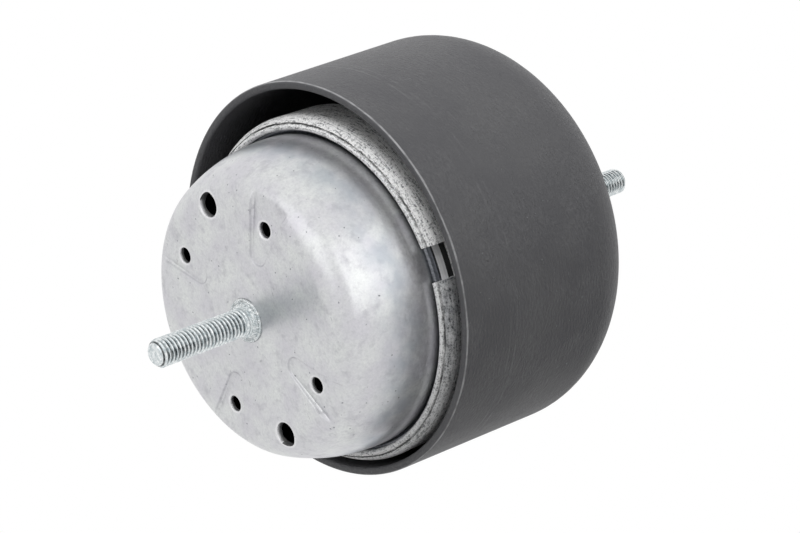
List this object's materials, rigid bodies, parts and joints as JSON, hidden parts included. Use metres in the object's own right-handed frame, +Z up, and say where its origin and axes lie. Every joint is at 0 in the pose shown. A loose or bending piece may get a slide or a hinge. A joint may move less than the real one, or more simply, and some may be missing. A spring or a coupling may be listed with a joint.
{
  "type": "hydraulic engine mount",
  "caption": "Hydraulic engine mount: a zinc-plated can with a threaded stud, crimped under a rubber spring inside a dark bell-shaped steel cover that carries the upper stud.",
  "frame": {"origin": "centre of the can's lower face, at the foot of the lower stud", "axes": "+Z up along the two studs, from the can to the cover's crown; +X to one of the two large holes in the can's face; +Y to the slot in the crimp ring"},
  "size_m": [0.1168, 0.1168, 0.1876],
  "materials": {
    "zinc_can": "satin zinc plate",
    "zinc_stud": "bright zinc plate",
    "ring_steel": "rough rolled steel",
    "cover_coat": "satin dark grey dip coat",
    "cast_aluminium": "as cast",
    "plain_steel": "phosphated",
    "rubber": "matt"
  },
  "bodies": {
    "root": {"lower_can": "zinc_can", "lower_stud": "zinc_stud", "crimp_ring": "ring_steel", "bell_cover": "cover_coat", "core": "cast_aluminium", "upper_stud": "zinc_stud", "main_spring": "rubber", "spring_sleeve": "plain_steel", "track_plate_upper": "cast_aluminium", "track_plate_lower": "cast_aluminium", "decoupler_membrane": "rubber", "plate_rivets": "plain_steel", "diaphragm": "rubber", "clamp_ring": "zinc_can"}
  },
  "joints": []
}
